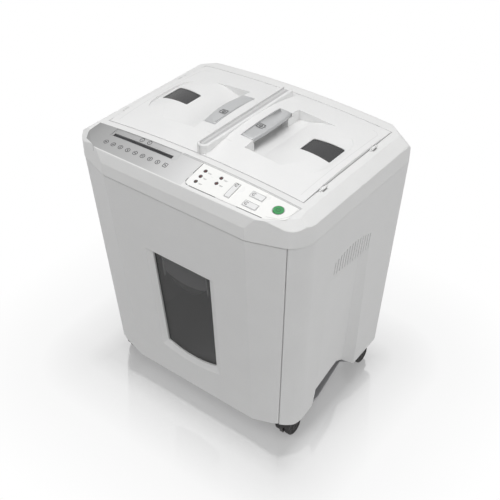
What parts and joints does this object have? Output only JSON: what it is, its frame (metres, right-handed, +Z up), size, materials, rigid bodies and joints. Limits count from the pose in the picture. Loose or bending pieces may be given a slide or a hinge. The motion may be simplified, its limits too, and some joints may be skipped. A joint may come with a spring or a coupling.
{
  "type": "paper shredder",
  "caption": "Wheeled paper shredder with a pull-out bin, two top lids over an automatic feed bay, a card slot and a sloping key panel.",
  "frame": {"origin": "on the floor under the centre of the head", "axes": "+Z up, front (bin and keys) towards -Y, +X to the right seen from the front"},
  "size_m": [0.411, 0.311, 0.4765],
  "materials": {
    "white_plastic": "satin textured",
    "silver_plastic": "satin metallic paint",
    "overlay_film": "matt printed film",
    "smoked_window": "smoked",
    "green_plastic": "satin",
    "key_grey": "matt",
    "black_plastic": "satin",
    "rubber_black": "matt",
    "steel": "machined",
    "zinc_steel": "zinc plated",
    "grey_plastic": "satin",
    "board_green": "solder resist",
    "lamp_red": "clear tinted",
    "gear_nylon": "satin"
  },
  "bodies": {
    "chassis": {"base_tray": "white_plastic", "side_panel_right": "white_plastic", "side_panel_left": "white_plastic", "rear_panel": "white_plastic", "head_cover": "white_plastic", "control_overlay": "overlay_film", "indicator_leds": "lamp_red", "control_board": "board_green", "paper_tray_right": "grey_plastic", "paper_tray_left": "grey_plastic", "cutter_plate_front": "zinc_steel", "cutter_plate_rear": "zinc_steel", "tie_bars": "zinc_steel", "cutter_bearings": "steel", "gear_motor": "zinc_steel", "strippers": "grey_plastic", "feed_belts": "rubber_black", "support_rails": "zinc_steel", "card_frame": "zinc_steel", "card_motor": "zinc_steel", "mains_inlet": "black_plastic", "rocker_frame": "black_plastic", "bin_sensor": "black_plastic", "panel_screws": "steel"},
    "lid_right": {"lid_right": "white_plastic", "grip_right": "silver_plastic", "lid_window_right": "smoked_window"},
    "lid_left": {"lid_left": "white_plastic", "grip_left": "silver_plastic", "lid_window_left": "smoked_window"},
    "bin": {"bin_front": "white_plastic", "bin_window": "smoked_window", "bin_tub": "grey_plastic"},
    "start_button": {"start_button": "green_plastic"},
    "key_tall": {"key_tall": "key_grey"},
    "key_upper": {"key_upper": "key_grey"},
    "key_lower": {"key_lower": "key_grey"},
    "cutter_left": {"cutter_left": "steel", "cutter_gear_left": "steel"},
    "cutter_right": {"cutter_right": "steel", "cutter_gear_right": "steel"},
    "output_gear": {"output_gear": "steel"},
    "feed_left": {"feed_shaft_left": "steel", "feed_tyres_left": "rubber_black"},
    "feed_right": {"feed_shaft_right": "steel", "feed_tyres_right": "rubber_black"},
    "card_cutter_front": {"card_cutter_front": "steel"},
    "card_cutter_back": {"card_cutter_back": "steel"},
    "rocker": {"rocker": "black_plastic"},
    "swivel_front_left": {"caster_fork_front_left": "black_plastic"},
    "wheels_front_left": {"caster_wheels_front_left": "black_plastic"},
    "swivel_front_right": {"caster_fork_front_right": "black_plastic"},
    "wheels_front_right": {"caster_wheels_front_right": "black_plastic"},
    "swivel_back_left": {"caster_fork_back_left": "black_plastic"},
    "wheels_back_left": {"caster_wheels_back_left": "black_plastic"},
    "swivel_back_right": {"caster_fork_back_right": "black_plastic"},
    "wheels_back_right": {"caster_wheels_back_right": "black_plastic"}
  },
  "joints": [
    {"name": "lid_right_hinge", "type": "hinge", "parent": "chassis", "child": "lid_right", "pos_m": [0.1776, 0, 0.4536], "axis": [0, 1, 0], "range_deg": [0, 100]},
    {"name": "lid_left_hinge", "type": "hinge", "parent": "chassis", "child": "lid_left", "pos_m": [-0.1776, 0, 0.4536], "axis": [0, -1, 0], "range_deg": [0, 100]},
    {"name": "bin_slide", "type": "slide", "parent": "chassis", "child": "bin", "axis": [0, -1, 0], "range_m": [0, 0.26]},
    {"name": "start_button_press", "type": "slide", "parent": "chassis", "child": "start_button", "axis": [0, 0, -1], "range_m": [0, 0.001], "stiffness_N_per_m": 400, "springref_m": -0.001},
    {"name": "key_tall_press", "type": "slide", "parent": "chassis", "child": "key_tall", "axis": [0, 0, -1], "range_m": [0, 0.001], "stiffness_N_per_m": 400, "springref_m": -0.001},
    {"name": "key_upper_press", "type": "slide", "parent": "chassis", "child": "key_upper", "axis": [0, 0, -1], "range_m": [0, 0.001], "stiffness_N_per_m": 400, "springref_m": -0.001},
    {"name": "key_lower_press", "type": "slide", "parent": "chassis", "child": "key_lower", "axis": [0, 0, -1], "range_m": [0, 0.001], "stiffness_N_per_m": 400, "springref_m": -0.001},
    {"name": "cutter_left_spin", "type": "hinge", "parent": "chassis", "child": "cutter_left", "pos_m": [-0.0175, 0, 0.362], "axis": [0, 1, 0], "continuous": true},
    {"name": "cutter_right_spin", "type": "hinge", "parent": "chassis", "child": "cutter_right", "pos_m": [0.0175, 0, 0.362], "axis": [0, 1, 0], "continuous": true},
    {"name": "output_gear_spin", "type": "hinge", "parent": "chassis", "child": "output_gear", "pos_m": [0.056, 0, 0.362], "axis": [0, 1, 0], "continuous": true},
    {"name": "feed_left_spin", "type": "hinge", "parent": "chassis", "child": "feed_left", "pos_m": [-0.0145, 0, 0.4], "axis": [0, 1, 0], "continuous": true},
    {"name": "feed_right_spin", "type": "hinge", "parent": "chassis", "child": "feed_right", "pos_m": [0.0145, 0, 0.4], "axis": [0, 1, 0], "continuous": true},
    {"name": "card_cutter_front_spin", "type": "hinge", "parent": "chassis", "child": "card_cutter_front", "pos_m": [0, -0.1216, 0.39], "axis": [1, 0, 0], "continuous": true},
    {"name": "card_cutter_back_spin", "type": "hinge", "parent": "chassis", "child": "card_cutter_back", "pos_m": [0, -0.1036, 0.39], "axis": [1, 0, 0], "continuous": true},
    {"name": "rocker_tilt", "type": "hinge", "parent": "chassis", "child": "rocker", "pos_m": [-0.075, 0.14438, 0.11], "axis": [0, 0, 1], "range_deg": [0, 12]},
    {"name": "swivel_front_left_turn", "type": "hinge", "parent": "chassis", "child": "swivel_front_left", "pos_m": [-0.163, -0.096, 0.045], "axis": [0, 0, 1], "continuous": true},
    {"name": "wheels_front_left_roll", "type": "hinge", "parent": "swivel_front_left", "child": "wheels_front_left", "pos_m": [-0.163, -0.086, 0.0165], "axis": [1, 0, 0], "continuous": true},
    {"name": "swivel_front_right_turn", "type": "hinge", "parent": "chassis", "child": "swivel_front_right", "pos_m": [0.163, -0.096, 0.045], "axis": [0, 0, 1], "continuous": true},
    {"name": "wheels_front_right_roll", "type": "hinge", "parent": "swivel_front_right", "child": "wheels_front_right", "pos_m": [0.163, -0.086, 0.0165], "axis": [1, 0, 0], "continuous": true},
    {"name": "swivel_back_left_turn", "type": "hinge", "parent": "chassis", "child": "swivel_back_left", "pos_m": [-0.163, 0.108, 0.045], "axis": [0, 0, 1], "continuous": true},
    {"name": "wheels_back_left_roll", "type": "hinge", "parent": "swivel_back_left", "child": "wheels_back_left", "pos_m": [-0.163, 0.118, 0.0165], "axis": [1, 0, 0], "continuous": true},
    {"name": "swivel_back_right_turn", "type": "hinge", "parent": "chassis", "child": "swivel_back_right", "pos_m": [0.163, 0.108, 0.045], "axis": [0, 0, 1], "continuous": true},
    {"name": "wheels_back_right_roll", "type": "hinge", "parent": "swivel_back_right", "child": "wheels_back_right", "pos_m": [0.163, 0.118, 0.0165], "axis": [1, 0, 0], "continuous": true}
  ],
  "couplings": [
    {"joint": "cutter_right_spin", "follows": "cutter_left_spin", "ratio": -1},
    {"joint": "output_gear_spin", "follows": "cutter_left_spin", "ratio": 0.83333},
    {"joint": "feed_left_spin", "follows": "cutter_left_spin", "ratio": 1},
    {"joint": "feed_right_spin", "follows": "cutter_left_spin", "ratio": -1},
    {"joint": "card_cutter_back_spin", "follows": "card_cutter_front_spin", "ratio": -1}
  ]
}
